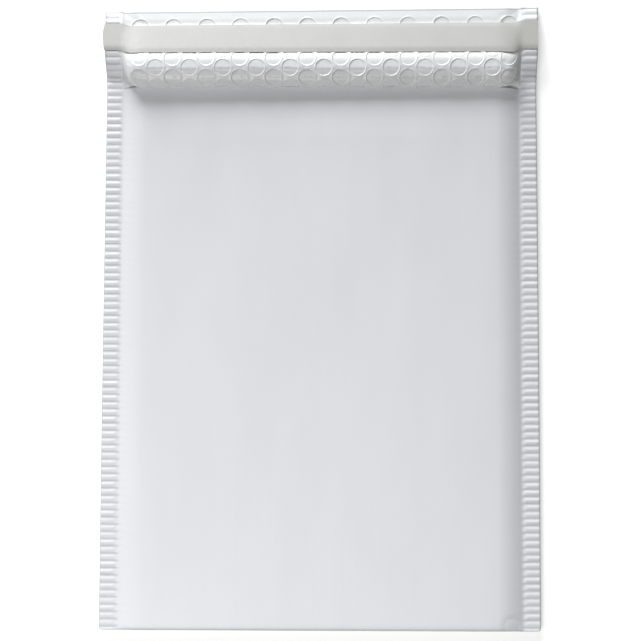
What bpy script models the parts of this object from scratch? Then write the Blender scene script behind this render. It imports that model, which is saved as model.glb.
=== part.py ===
"""Padded mailing envelope, open and empty, lying on its back panel.

One web of white film, lined with bubble film, is folded at the bottom edge and heat sealed down both
sides with ribbed bars. The back panel runs on past the mouth as a flap. The flap has rolled up into a
hump behind the mouth, and its tip comes down to the surface again. A strip of adhesive lies under a
release liner along the flap. +Y points from the bottom fold to the flap's tip, and +Z points up.
"""

import math

import bmesh
import bpy
import numpy as np
from mathutils import Vector
from mathutils.geometry import delaunay_2d_cdt

# Envelope
WIDTH = 0.250
BODY_LENGTH = 0.309
FLAP_LENGTH = 0.0607
SHOULDER = 0.014
POCKET_STEP = 0.25
FOLD_DEPTH = 0.005
DRAW_IN = 0.0015
CORNER_RADIUS = 0.0015

# Films, lining and the room left between the two panels
FILM = 0.0002
FILM_END = 0.0005
LINING = 0.0028
LINING_EDGE = 0.0003
LINING_TIP = 0.0012
TIP_TAPER = 0.005
POCKET_MIDDLE = 0.0024
POCKET_SIDE = 0.0012
POCKET_MOUTH = 0.0006
MOUTH_CLOSING = 0.030
GAP = 0.0003

# Heat seals down both sides
SEAL_WIDTH = 0.010
SEAL_THICKNESS = 0.0013
SEAL_LIFT = 0.0028
FLAP_SEAL_LIFT = 0.0006
LIFT_CHANGE = 0.030
RIB_PITCH = 0.0041
RIB_HEIGHT = 0.00025
RIB_END = 0.0012

# The flap's hump, as the underside of the film runs between the seals
RISE_RADIUS = 0.0051
LEAN = math.radians(112)
LEAN_LENGTH = 0.0030
BEND_RADIUS = 0.0012
LOW_FACE = math.radians(42)
LOW_FACE_LENGTH = 0.0030
LOW_FACE_CURL = math.radians(11)
MIDDLE_FACE = math.radians(14)
MIDDLE_FACE_LENGTH = 0.0034
TOP_FACE = math.radians(-4)
TOP_FACE_LENGTH = 0.0030
CREASE = 0.0005
SLOPE_BEND = 0.003
TIP_BEND = 0.004
TIP_SLOPE = math.radians(7)
TIP_SLOPE_LENGTH = 0.007
TIP_LIFT = 0.0005
HUMP_END = 0.010
HUMP_SKEW = 0.10
TIP_SKEW = 0.0014

# The same run along a seal, where the flattened edge rises less
SEAL_RUN = 0.006
SEAL_START = math.radians(5)
SEAL_RISE = math.radians(41)
SEAL_RISE_BEND = 0.0035
SEAL_RISE_LENGTH = 0.005
SEAL_CREST_LENGTH = 0.012
SEAL_TOP_LENGTH = 0.0058
SEAL_FALL = math.radians(10)

# Bubbles of the lining, which show as round dimples
BUBBLE = 0.010
BUBBLE_RIM = 0.0007
BUBBLE_DEPTH = 0.0004
BUBBLE_COLUMN = 0.00968
BUBBLE_SHIFT = 0.0016
BUBBLE_ROW = 0.00588
FIRST_BUBBLE = 0.0094
BUBBLE_MARGIN = 0.0015
RIM_SIDES = 10

# Adhesive and release liner
LINER = 0.021
LINER_THICKNESS = 0.0002
LINER_TO_TIP = 0.0100
LINER_PROUD = 0.0010
ADHESIVE_MARGIN = 0.0015
ADHESIVE_THICKNESS = 0.00015

HALF = WIDTH / 2
SEAL_INNER = HALF - SEAL_WIDTH
RIB_INNER = SEAL_INNER + RIB_END
TIP = BODY_LENGTH + FLAP_LENGTH
WALL = FILM + GAP
LINING_HALF = SEAL_INNER - GAP
POCKET_HALF = SEAL_INNER - POCKET_STEP * SHOULDER
LINING_START = FILM_END + GAP
POCKET_START = LINING_START + LINING
LINING_STOP = TIP - FILM_END
LINER_STOP = TIP - LINER_TO_TIP
LINER_START = LINER_STOP - LINER

# Stations across a shoulder, as shares of its width, and along the flap, for each stretch of its run
SHOULDER_STEPS = (POCKET_STEP, 0.4, 0.65, 1.0)
FLAP_STEPS = (7, 2, 4, 2, 1, 2, 1, 2, 2, 4, 2, 2)
SAMPLES = 24
MERGE = 1e-6


def run_of(stretches):
    """Arc lengths, Y, Z and headings down a run of stretches, each (length, first angle, last angle)."""
    s, y, z, turned = [0.0], [0.0], [0.0], [stretches[0][1]]
    for length, first, last in stretches:
        step = length / SAMPLES
        for i in range(SAMPLES):
            angle = first + (last - first) * (i + 0.5) / SAMPLES
            s.append(s[-1] + step)
            y.append(y[-1] + step * math.cos(angle))
            z.append(z[-1] + step * math.sin(angle))
            turned.append(first + (last - first) * (i + 1) / SAMPLES)
    return [np.array(values) for values in (s, y, z, turned)]


def hump_stretches(slope):
    """Up from the mouth, back over it, down three faces with creases between, and on to the tip."""
    stretches = (
        (RISE_RADIUS * LEAN, 0, LEAN),
        (LEAN_LENGTH, LEAN, LEAN),
        (BEND_RADIUS * (LEAN - LOW_FACE), LEAN, LOW_FACE),
        (LOW_FACE_LENGTH, LOW_FACE, LOW_FACE - LOW_FACE_CURL),
        (CREASE, LOW_FACE - LOW_FACE_CURL, MIDDLE_FACE),
        (MIDDLE_FACE_LENGTH, MIDDLE_FACE, MIDDLE_FACE),
        (CREASE, MIDDLE_FACE, TOP_FACE),
        (TOP_FACE_LENGTH, TOP_FACE, TOP_FACE),
        (SLOPE_BEND, TOP_FACE, -slope),
    )
    used = sum(length for length, _, _ in stretches) + TIP_BEND + TIP_SLOPE_LENGTH
    return (
        *stretches,
        (FLAP_LENGTH - used, -slope, -slope),
        (TIP_BEND, -slope, -TIP_SLOPE),
        (TIP_SLOPE_LENGTH, -TIP_SLOPE, -TIP_SLOPE),
    )


def settled_slope():
    """The slope at which the flap's tip just comes down to its resting height."""
    low, high = 0.0, math.radians(85)
    for _ in range(40):
        middle = (low + high) / 2
        if run_of(hump_stretches(middle))[2][-1] > TIP_LIFT:
            low = middle
        else:
            high = middle
    return (low + high) / 2


def seal_run(tip_y):
    """The run along a seal: its last stretch is straight, down to where the whole tip lies."""
    stretches = (
        (SEAL_RUN, 0, SEAL_START),
        (SEAL_RISE_BEND, SEAL_START, SEAL_RISE),
        (SEAL_RISE_LENGTH, SEAL_RISE, SEAL_RISE),
        (SEAL_CREST_LENGTH, SEAL_RISE, -SEAL_FALL),
    )
    run = run_of(stretches)
    s, y, z, _ = (values[-1] for values in run)
    over, drop = tip_y - y, z - TIP_LIFT
    heading = -math.atan2(drop, over)
    # The heading turns to the straight fall within a crease.
    fall = [
        (s + step, y + step * math.cos(heading), z + step * math.sin(heading), heading)
        for step in (CREASE, math.hypot(over, drop))
    ]
    return [np.concatenate([values, ends]) for values, ends in zip(run, zip(*fall))]


def matching_knots():
    """Where the hump's run and a seal's run pass from one stretch to the next together."""
    ends = np.cumsum([length for length, _, _ in HUMP])
    hump = [0.0, ends[0], ends[1], ends[2], ends[7], FLAP_LENGTH]
    seal = np.cumsum([0.0, SEAL_RUN, SEAL_RISE_BEND, SEAL_RISE_LENGTH, SEAL_TOP_LENGTH])
    return hump, [*seal, SEAL_S[-1]]


def face_run():
    """Lengths along the face of the flap's lining, which is shorter in a bend's inside."""
    thick = WALL + LINING
    y = HUMP_Y - thick * np.sin(HUMP_TURN)
    z = HUMP_Z + thick * np.cos(HUMP_TURN)
    return np.concatenate([[0.0], np.cumsum(np.hypot(np.diff(y), np.diff(z)))])


HUMP = hump_stretches(settled_slope())
HUMP_S, HUMP_Y, HUMP_Z, HUMP_TURN = run_of(HUMP)
SEAL_S, SEAL_Y, SEAL_Z, SEAL_TURN = seal_run(HUMP_Y[-1])
HUMP_KNOTS, SEAL_KNOTS = matching_knots()
FACE_S = face_run()


def shoulder(x):
    """0 on a seal, 1 where the panel has its full thickness."""
    inside = min(max((SEAL_INNER - abs(x)) / SHOULDER, 0), 1)
    return 1 - (1 - inside) ** 2


def fold(v):
    """0 at the bottom edge, 1 past the rounding of the bottom fold."""
    inside = min(max(v / FOLD_DEPTH, 0), 1)
    return math.sqrt(1 - (1 - inside) ** 2)


def humped(x):
    """0 on a seal, 1 where the hump has its full height."""
    inside = min(max((SEAL_INNER - abs(x)) / HUMP_END, 0), 1)
    return 1 - (1 - inside) ** 3


def seal_lift(v):
    """A seal lies halfway up the body's sides, and lower where only the flap hangs on it."""
    share = min(max((v - BODY_LENGTH) / LIFT_CHANGE, 0), 1)
    return SEAL_LIFT + (FLAP_SEAL_LIFT - SEAL_LIFT) * share * share * (3 - 2 * share)


def seal_length(v):
    """The distance along a seal, on which its ribs are spaced."""
    if v <= BODY_LENGTH:
        return v
    return BODY_LENGTH + float(np.interp(v - BODY_LENGTH, HUMP_KNOTS, SEAL_KNOTS))


def rib(x, v):
    """How far the rib pattern moves both faces of a seal."""
    share = min(max((abs(x) - SEAL_INNER) / (RIB_INNER - SEAL_INNER), 0), 1)
    return share * RIB_HEIGHT * math.cos(2 * math.pi * seal_length(v) / RIB_PITCH)


def drawn_in(x, v):
    """The panels' bulge pulls the seals in, most of all at the mouth; the bottom corners are round."""
    share = (v / BODY_LENGTH) ** 1.5 if v < BODY_LENGTH else 1 - (v - BODY_LENGTH) / FLAP_LENGTH
    corner = CORNER_RADIUS - min(v, CORNER_RADIUS)
    cut = CORNER_RADIUS - math.sqrt(CORNER_RADIUS**2 - corner**2)
    outer = min(max((abs(x) - RIB_INNER) / (HALF - RIB_INNER), 0), 1)
    return x * (1 - share * DRAW_IN / HALF) - math.copysign(cut * outer, x)


def place(x, v, height):
    """The point at x across and v along the web, at a height over its underside."""
    across = drawn_in(x, v)
    height += rib(x, v)
    if v <= BODY_LENGTH:
        return Vector((across, v - BODY_LENGTH, SEAL_LIFT * (1 - shoulder(x) * fold(v)) + height))
    s = v - BODY_LENGTH
    h = humped(x)
    on_seal = np.interp(s, HUMP_KNOTS, SEAL_KNOTS)
    y, z, turned = (
        float((1 - h) * np.interp(on_seal, SEAL_S, at_seal) + h * np.interp(s, HUMP_S, at_hump))
        for at_seal, at_hump in ((SEAL_Y, HUMP_Y), (SEAL_Z, HUMP_Z), (SEAL_TURN, HUMP_TURN))
    )
    y += TIP_SKEW * x / HALF * s / FLAP_LENGTH
    z = TIP_LIFT * s / FLAP_LENGTH + (z - TIP_LIFT * s / FLAP_LENGTH) * (1 - HUMP_SKEW * x / HALF)
    z += seal_lift(v) * (1 - shoulder(x))
    return Vector((across, y - height * math.sin(turned), z + height * math.cos(turned)))


def pocket(x, v):
    """Height of the room inside, which closes towards the mouth."""
    full = POCKET_SIDE + (POCKET_MIDDLE - POCKET_SIDE) * (1 - (x / SEAL_INNER) ** 2)
    closing = min(max(1 - (BODY_LENGTH - v) / MOUTH_CLOSING, 0), 1)
    return full + (POCKET_MOUTH - full) * closing


def front(x, v):
    """Height of the front panel's outer face."""
    full = 2 * (WALL + LINING) + pocket(x, v)
    return SEAL_THICKNESS + shoulder(x) * fold(v) * (full - SEAL_THICKNESS)


def lining(x, v):
    """Thickness of one wall of the lining."""
    thick = LINING_EDGE + (LINING - LINING_EDGE) * shoulder(x) * fold(v)
    tip = min(max((LINING_STOP - v) / TIP_TAPER, 0), 1)
    return min(thick, LINING_TIP + (LINING - LINING_TIP) * tip)


def along_face(v):
    """The distance along the flap's face from the mouth."""
    return float(np.interp(v - BODY_LENGTH, HUMP_S, FACE_S))


def on_flap(distance):
    """The station at a distance along the flap's face."""
    return BODY_LENGTH + float(np.interp(distance, FACE_S, HUMP_S))


def bubbles():
    """Centres of the dimples, across and along the flap's face: all rows that can be seen."""
    found = []
    end = along_face(LINING_STOP)
    last = along_face(BODY_LENGTH + HUMP[0][0]) + BUBBLE / 2
    liner = (along_face(LINER_START) + BUBBLE / 2, along_face(LINER_STOP) - BUBBLE_MARGIN)
    widest = LINING_HALF - BUBBLE / 2 - BUBBLE_MARGIN
    count = int(widest / BUBBLE_COLUMN) + 1
    for row in range(int(end / BUBBLE_ROW)):
        along = end - FIRST_BUBBLE - row * BUBBLE_ROW
        if along < last or liner[0] < along < liner[1]:
            continue
        staggered = [i for i in range(-count, count + 1) if (i + row) % 2]
        across = [BUBBLE_SHIFT + i * BUBBLE_COLUMN for i in staggered]
        found += [(x, along) for x in across if abs(x) < widest]
    return found


BUBBLES = bubbles()


def dimple(x, v):
    """Depth of the dimple at a point of the flap's lining."""
    along = along_face(v)
    nearest = min((math.hypot(x - cx, along - centre) for cx, centre in BUBBLES), default=BUBBLE)
    return BUBBLE_DEPTH * min(max((BUBBLE / 2 - nearest) / BUBBLE_RIM, 0), 1)


def flap_face(x, v):
    return place(x, v, WALL + lining(x, v) - dimple(x, v))


def rim_lines():
    """Each dimple's outer and inner rim, as lines that end where they start."""
    loops = []
    turns = [2 * math.pi * i / RIM_SIDES for i in range(RIM_SIDES)]
    for cx, centre in BUBBLES:
        for radius in (BUBBLE / 2, BUBBLE / 2 - BUBBLE_RIM):
            rim = [(cx + radius * math.cos(a), on_flap(centre + radius * math.sin(a))) for a in turns]
            loops.append([*rim, rim[0]])
    return loops


def off_rims(point):
    """True where a point of the grid is clear of every dimple's rim."""
    x, along = point[0], along_face(point[1])
    away = [math.hypot(x - cx, along - centre) for cx, centre in BUBBLES]
    return all(abs(far - BUBBLE / 2 + BUBBLE_RIM / 2) > BUBBLE_RIM * 1.5 for far in away)


def mirrored(distances):
    return sorted({-d for d in distances} | set(distances))


def panel_columns(edge):
    """Stations across a panel that ends at this distance from the middle."""
    middle = SEAL_INNER - SHOULDER
    steps = [SEAL_INNER - share * SHOULDER for share in SHOULDER_STEPS]
    return mirrored([edge, *steps, middle * 2 / 3, middle / 3, 0.0])


def body_rows(start):
    """Stations along the body, close together at the bottom fold."""
    fold_rows = [FOLD_DEPTH * share for share in (0.08, 0.25, 0.5, 1.0)]
    far = [BODY_LENGTH / 2, BODY_LENGTH - MOUTH_CLOSING, BODY_LENGTH]
    return sorted([start, *[row for row in fold_rows if row > start + GAP], *far])


def flap_rows(stop):
    """Stations along the flap, in step with the bends of its run."""
    rows = [BODY_LENGTH]
    for (length, _, _), steps in zip(HUMP, FLAP_STEPS):
        first = rows[-1]
        rows += [first + length * i / steps for i in range(1, steps + 1)]
    return [row for row in rows if row < stop - GAP] + [stop]


def seal_rows():
    """Stations down a seal: one on each rib, one in each groove, and one at the mouth."""
    half = RIB_PITCH / 2
    count = int(SEAL_S[-1] / half) + int(BODY_LENGTH / half)
    body = [i * half for i in range(int(BODY_LENGTH / half) + 1)]
    flap = [
        BODY_LENGTH + float(np.interp(i * half - BODY_LENGTH, SEAL_KNOTS, HUMP_KNOTS))
        for i in range(len(body), count + 1)
    ]
    inner = [row for row in body + flap if GAP < row < TIP - GAP and abs(row - BODY_LENGTH) > GAP]
    return sorted([0.0, *inner, BODY_LENGTH, TIP])


def skin(mesh, outline, inside, surface, lines=()):
    """Adds a triangulated patch of (x, v) points, placed by surface, with an edge down each line."""
    on_lines = [point for line in lines for point in line]
    points = list(dict.fromkeys([*outline, *inside, *on_lines]))
    number = {point: i for i, point in enumerate(points)}
    edges = [(number[a], number[b]) for line in lines for a, b in zip(line, line[1:])]
    flat = [Vector(point) for point in points]
    face = [number[point] for point in outline]
    triangles_inside = 1
    made = delaunay_2d_cdt(flat, edges, [face], triangles_inside, 1e-8, True)
    corners = [mesh.verts.new(surface(*points[source[0]])) for source in made[3]]
    for face in made[2]:
        mesh.faces.new([corners[i] for i in face])


def border(columns, rows):
    """The closed outline of a patch, from its stations across and along."""
    bottom = [(x, rows[0]) for x in columns]
    right = [(columns[-1], v) for v in rows[1:-1]]
    top = [(x, rows[-1]) for x in reversed(columns)]
    left = [(columns[0], v) for v in reversed(rows[1:-1])]
    return bottom + right + top + left


def strip(mesh, first, second):
    """Adds a row of faces between two lists of points of equal length."""
    a, b = ([mesh.verts.new(point) for point in points] for points in (first, second))
    for i in range(len(a) - 1):
        mesh.faces.new((a[i], a[i + 1], b[i + 1], b[i]))


def polygon(mesh, points):
    mesh.faces.new([mesh.verts.new(point) for point in points])


def zipped(mesh, first, second):
    """Adds triangles between two lists of (station, point), whose stations need not match."""
    a, b = ([mesh.verts.new(point) for _, point in points] for points in (first, second))
    i = j = 0
    while i < len(a) - 1 or j < len(b) - 1:
        if j == len(b) - 1 or (i < len(a) - 1 and first[i + 1][0] <= second[j + 1][0]):
            mesh.faces.new((a[i], a[i + 1], b[j]))
            i += 1
        else:
            mesh.faces.new((a[i], b[j + 1], b[j]))
            j += 1


def grid_between(columns, rows):
    return [(x, v) for x in columns[1:-1] for v in rows[1:-1]]


def finish(mesh, name, colour, roughness):
    """Closes a mesh's shared borders, turns its faces out and gives it its own material."""
    bmesh.ops.remove_doubles(mesh, verts=mesh.verts, dist=MERGE)
    bmesh.ops.recalc_face_normals(mesh, faces=mesh.faces)
    if mesh.calc_volume(signed=True) < 0:
        bmesh.ops.reverse_faces(mesh, faces=mesh.faces)
    data = bpy.data.meshes.new(name)
    mesh.to_mesh(data)
    mesh.free()
    data.shade_smooth()
    data.set_sharp_from_angle(angle=math.radians(35))
    material = bpy.data.materials.new(name)
    material.use_nodes = True
    shader = material.node_tree.nodes["Principled BSDF"]
    shader.inputs["Base Color"].default_value = (*colour, 1)
    shader.inputs["Roughness"].default_value = roughness
    shader.inputs["Metallic"].default_value = 0
    data.materials.append(material)
    made = bpy.data.objects.new(name, data)
    bpy.context.scene.collection.objects.link(made)
    return made


def outer_film():
    """The white outer film: both panels, the bottom fold, the ribbed seals and the flap's back."""
    mesh = bmesh.new()
    panel = panel_columns(SEAL_INNER)
    across = mirrored([HALF, RIB_INNER, *panel])
    rows, body, flap = seal_rows(), body_rows(0.0), flap_rows(TIP)
    body_seal = [v for v in rows if v <= BODY_LENGTH]
    flap_seal = [v for v in rows if v >= BODY_LENGTH]
    seal_lines = mirrored([RIB_INNER, SEAL_INNER])

    def both_panels(seal, coarse, surface):
        inside = [(x, v) for x in seal_lines for v in seal[1:-1]]
        down = [[(x, v) for v in coarse] for x in panel[1:-1]]
        over = [[(x, v) for x in panel[1:-1]] for v in coarse[1:-1]]
        seal_sides = [[(x, v) for v in seal] for x in seal_lines]
        skin(mesh, border(across, seal), inside, surface, down + over + seal_sides)

    both_panels(body_seal, body, lambda x, v: place(x, v, front(x, v)))
    both_panels(rows, body + flap[1:], lambda x, v: place(x, v, 0))
    cavity = body_rows(FILM_END)
    inner_back = cavity + flap[1:]
    skin(
        mesh,
        border(panel, inner_back),
        grid_between(panel, inner_back),
        lambda x, v: place(x, v, FILM),
    )
    skin(
        mesh,
        border(panel, cavity),
        grid_between(panel, cavity),
        lambda x, v: place(x, v, front(x, v) - FILM),
    )
    strip(
        mesh,
        [place(x, 0, front(x, 0)) for x in across],
        [place(x, 0, 0) for x in across],
    )
    strip(
        mesh,
        [place(x, FILM_END, front(x, FILM_END) - FILM) for x in panel],
        [place(x, FILM_END, FILM) for x in panel],
    )
    mouth = BODY_LENGTH
    strip(
        mesh,
        [place(x, mouth, front(x, mouth)) for x in panel],
        [place(x, mouth, front(x, mouth) - FILM) for x in panel],
    )
    strip(mesh, [place(x, TIP, FILM) for x in panel], [place(x, TIP, 0) for x in panel])
    for side in (-1, 1):
        edge, rib_end, inner = side * HALF, side * RIB_INNER, side * SEAL_INNER
        seal = sorted((edge, rib_end, inner))
        skin(
            mesh,
            border(seal, flap_seal),
            [(rib_end, v) for v in flap_seal[1:-1]],
            lambda x, v: place(x, v, SEAL_THICKNESS),
        )
        strip(
            mesh,
            [place(edge, v, SEAL_THICKNESS) for v in rows],
            [place(edge, v, 0) for v in rows],
        )
        strip(
            mesh,
            [place(inner, v, front(inner, v) - FILM) for v in cavity],
            [place(inner, v, FILM) for v in cavity],
        )
        polygon(
            mesh,
            [
                place(edge, TIP, 0),
                place(rib_end, TIP, 0),
                place(inner, TIP, 0),
                place(inner, TIP, FILM),
                place(inner, TIP, SEAL_THICKNESS),
                place(rib_end, TIP, SEAL_THICKNESS),
                place(edge, TIP, SEAL_THICKNESS),
            ],
        )
        # The step down from the seal to the flap's film starts at the front panel's edge.
        low = [(v, place(inner, v, FILM)) for v in flap]
        high = [(v, place(inner, v, SEAL_THICKNESS)) for v in flap_seal]
        high[0] = (flap[1] + MERGE, high[0][1])
        zipped(mesh, low, [(mouth, place(inner, mouth, SEAL_THICKNESS - FILM)), *high])
    return finish(mesh, "outer_film", (0.80, 0.81, 0.84), 0.38)


def bubble_lining():
    """The bubble film: a pocket between the seals, and the flap's face with its round dimples."""
    mesh = bmesh.new()
    columns = panel_columns(LINING_HALF)
    inner = [x for x in columns if abs(x) <= POCKET_HALF]
    body = body_rows(LINING_START)
    flap = flap_rows(LINING_STOP)
    whole = body + flap[1:]
    pocket_rows = body_rows(POCKET_START)

    def under(x, v):
        return place(x, v, WALL)

    def over(x, v):
        return place(x, v, front(x, v) - WALL)

    def pocket_floor(x, v):
        return place(x, v, WALL + lining(x, v))

    def pocket_roof(x, v):
        return place(x, v, front(x, v) - WALL - lining(x, v))

    skin(mesh, border(columns, whole), grid_between(columns, whole), under)
    skin(mesh, border(columns, body), grid_between(columns, body), over)
    skin(mesh, border(inner, pocket_rows), grid_between(inner, pocket_rows), pocket_floor)
    skin(mesh, border(inner, pocket_rows), grid_between(inner, pocket_rows), pocket_roof)
    face = [point for point in grid_between(columns, flap) if off_rims(point)]
    centres = [(cx, on_flap(centre)) for cx, centre in BUBBLES]
    skin(mesh, border(columns, flap), face + centres, flap_face, rim_lines())
    start, mouth = LINING_START, BODY_LENGTH
    strip(mesh, [over(x, start) for x in columns], [under(x, start) for x in columns])
    strip(mesh, [flap_face(x, LINING_STOP) for x in columns], [under(x, LINING_STOP) for x in columns])
    strip(mesh, [over(x, mouth) for x in inner], [pocket_roof(x, mouth) for x in inner])
    strip(
        mesh,
        [pocket_roof(x, POCKET_START) for x in inner],
        [pocket_floor(x, POCKET_START) for x in inner],
    )
    for side in (-1, 1):
        edge, wall = side * LINING_HALF, side * POCKET_HALF
        # At the mouth the side wall takes in the corner where the flap's face begins.
        upper = [(v, over(edge, v)) for v in body]
        upper[-1] = (mouth - 2 * MERGE, over(edge, mouth))
        upper.append((mouth - MERGE, flap_face(edge, mouth)))
        zipped(mesh, upper, [(v, under(edge, v)) for v in body])
        strip(mesh, [flap_face(edge, v) for v in flap], [under(edge, v) for v in flap])
        strip(
            mesh,
            [pocket_roof(wall, v) for v in pocket_rows],
            [pocket_floor(wall, v) for v in pocket_rows],
        )
        polygon(
            mesh,
            [
                flap_face(edge, mouth),
                flap_face(wall, mouth),
                pocket_roof(wall, mouth),
                over(wall, mouth),
                over(edge, mouth),
            ],
        )
    return finish(mesh, "bubble_lining", (0.82, 0.83, 0.85), 0.30)


def band(name, columns, start, stop, height, thickness, colour, roughness):
    """A thin strip across the flap, that follows its face at a height over the underside."""
    mesh = bmesh.new()
    rows = [start, *[v for v in flap_rows(TIP) if start + GAP < v < stop - GAP], stop]

    def lower(x, v):
        return place(x, v, height(x, v))

    def upper(x, v):
        return place(x, v, height(x, v) + thickness)

    for surface in (lower, upper):
        skin(mesh, border(columns, rows), grid_between(columns, rows), surface)
    for v in (start, stop):
        strip(mesh, [lower(x, v) for x in columns], [upper(x, v) for x in columns])
    for x in (columns[0], columns[-1]):
        strip(mesh, [lower(x, v) for v in rows], [upper(x, v) for v in rows])
    return finish(mesh, name, colour, roughness)


def adhesive_height(x, v):
    return WALL + lining(x, v) + GAP


def liner_height(x, v):
    """Clear of the adhesive between the seals, and of the ribs on them."""
    on_seal = SEAL_THICKNESS + 2 * RIB_HEIGHT + GAP
    on_adhesive = adhesive_height(0, LINER_START) + ADHESIVE_THICKNESS + GAP
    return on_seal + (on_adhesive - on_seal) * shoulder(x) - rib(x, v)


def adhesive_strip():
    return band(
        "adhesive_strip",
        panel_columns(LINING_HALF),
        LINER_START + ADHESIVE_MARGIN,
        LINER_STOP - ADHESIVE_MARGIN,
        adhesive_height,
        ADHESIVE_THICKNESS,
        (0.72, 0.68, 0.55),
        0.45,
    )


def release_liner():
    columns = mirrored([HALF, *panel_columns(SEAL_INNER)])
    columns[0] -= LINER_PROUD
    return band(
        "release_liner",
        columns,
        LINER_START,
        LINER_STOP,
        liner_height,
        LINER_THICKNESS,
        (0.60, 0.60, 0.56),
        0.50,
    )


def centre_on_footprint(objects):
    """Puts the origin under the middle of the footprint, on the surface that the envelope lies on."""
    points = np.array([vertex.co for piece in objects for vertex in piece.data.vertices])
    low, high = points.min(axis=0), points.max(axis=0)
    shift = Vector((-(low[0] + high[0]) / 2, -(low[1] + high[1]) / 2, -low[2]))
    for piece in objects:
        for vertex in piece.data.vertices:
            vertex.co += shift


def main():
    for old in list(bpy.data.objects):
        bpy.data.objects.remove(old, do_unlink=True)
    centre_on_footprint([outer_film(), bubble_lining(), adhesive_strip(), release_liner()])


main()
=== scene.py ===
"""Looks of the padded mailing envelope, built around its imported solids.

The outer film, the bubble lining and the release liner are modelled again as fine meshes. Places are
given as x across and v along the web, from the bottom fold at v = 0 over the mouth at BODY_LENGTH to
the flap's tip, with a height over the web's underside. The surfaces follow those of the solids, with
stronger ribs and finer detail. Three forms differ a little from the solids: the bottom fold is
tighter, the mouth runs further under the flap and the lining is thicker at the flap's tip.
"""

import math

import bmesh
import bpy
import numpy as np
from mathutils import Matrix, Vector
from mathutils.geometry import delaunay_2d_cdt


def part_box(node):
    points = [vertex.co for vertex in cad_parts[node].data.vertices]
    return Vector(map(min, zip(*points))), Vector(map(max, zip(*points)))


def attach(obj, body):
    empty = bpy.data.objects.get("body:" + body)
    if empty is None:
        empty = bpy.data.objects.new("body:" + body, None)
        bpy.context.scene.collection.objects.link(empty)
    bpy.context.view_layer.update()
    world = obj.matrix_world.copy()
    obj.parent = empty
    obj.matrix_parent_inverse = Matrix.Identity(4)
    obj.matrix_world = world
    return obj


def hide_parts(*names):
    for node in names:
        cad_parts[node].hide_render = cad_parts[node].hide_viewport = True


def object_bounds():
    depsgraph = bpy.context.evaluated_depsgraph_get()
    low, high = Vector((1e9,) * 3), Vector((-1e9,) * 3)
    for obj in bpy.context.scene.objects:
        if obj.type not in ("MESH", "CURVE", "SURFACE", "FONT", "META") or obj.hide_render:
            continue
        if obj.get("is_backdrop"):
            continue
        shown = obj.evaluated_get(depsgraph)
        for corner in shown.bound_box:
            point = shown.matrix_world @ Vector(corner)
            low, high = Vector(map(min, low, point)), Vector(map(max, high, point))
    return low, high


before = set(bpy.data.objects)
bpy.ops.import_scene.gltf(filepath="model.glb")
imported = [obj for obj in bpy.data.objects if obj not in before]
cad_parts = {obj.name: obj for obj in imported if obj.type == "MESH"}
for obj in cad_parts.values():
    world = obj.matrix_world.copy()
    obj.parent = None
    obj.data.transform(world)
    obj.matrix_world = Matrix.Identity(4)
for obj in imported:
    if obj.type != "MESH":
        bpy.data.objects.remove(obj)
cad_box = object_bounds()

# Envelope
WIDTH = 0.250
BODY_LENGTH = 0.309
FLAP_LENGTH = 0.0607
SHOULDER = 0.014
SHOULDER_POWER = 2.0
FOLD_DEPTH = 0.005
FOLD_TIGHTNESS = 6.0
TUCK = 0.0009
TUCK_LENGTH = 0.006
DRAW_IN = 0.0015
DRAW_IN_SPREAD = 1.5
CORNER_RADIUS = 0.0015
CORNER_POWER = 3

# Films, lining and the room left between the two panels
FILM = 0.0002
FILM_END = 0.0005
LINING = 0.0028
LINING_EDGE = 0.0003
LINING_TIP = 0.0023
FACE_PROUD = 0.00015
TIP_TAPER = 0.005
POCKET_MIDDLE = 0.0024
POCKET_SIDE = 0.0012
POCKET_MOUTH = 0.0006
MOUTH_CLOSING = 0.030
GAP = 0.0003
LINING_LAP = 0.0004

# Heat seals down both sides
SEAL_WIDTH = 0.010
SEAL_THICKNESS = 0.0013
SEAL_LIFT = 0.0028
FLAP_SEAL_LIFT = 0.0006
LIFT_CHANGE = 0.030
RIB_PITCH = 0.0041
RIB_HEIGHT = 0.0006
RIB_UNEVENNESS = 0.25
RIB_FLANK = 0.0010
RIB_START = 0.0012
RIB_RAGGED = 0.0006
RIB_SHARPNESS = 0.7
RIB_END_HEIGHT = 0.5
GROOVE_SHARE = 0.35
GROOVE_START = -0.0015
GROOVE_FLANK = 0.002
EDGE_BEAD = 0.0006

# The flap's hump, as the underside of the film runs between the seals
RISE_RADIUS = 0.0051
LEAN = math.radians(112)
LEAN_LENGTH = 0.0030
BEND_RADIUS = 0.0012
LOW_FACE = math.radians(42)
LOW_FACE_LENGTH = 0.0030
LOW_FACE_CURL = math.radians(11)
MIDDLE_FACE = math.radians(14)
MIDDLE_FACE_LENGTH = 0.0034
TOP_FACE = math.radians(-4)
TOP_FACE_LENGTH = 0.0030
CREASE = 0.0005
SLOPE_BEND = 0.003
TIP_BEND = 0.004
TIP_SLOPE = math.radians(7)
TIP_SLOPE_LENGTH = 0.007
TIP_LIFT = 0.0005
HUMP_END = 0.010
HUMP_END_POWER = 3
HUMP_SKEW = 0.10
TIP_SKEW = 0.0014

# The same run along a seal, where the flattened edge rises less
SEAL_RUN = 0.006
SEAL_START = math.radians(5)
SEAL_RISE = math.radians(41)
SEAL_RISE_BEND = 0.0035
SEAL_RISE_LENGTH = 0.005
SEAL_CREST_LENGTH = 0.012
SEAL_TOP_LENGTH = 0.0058
SEAL_FALL = math.radians(10)

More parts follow.
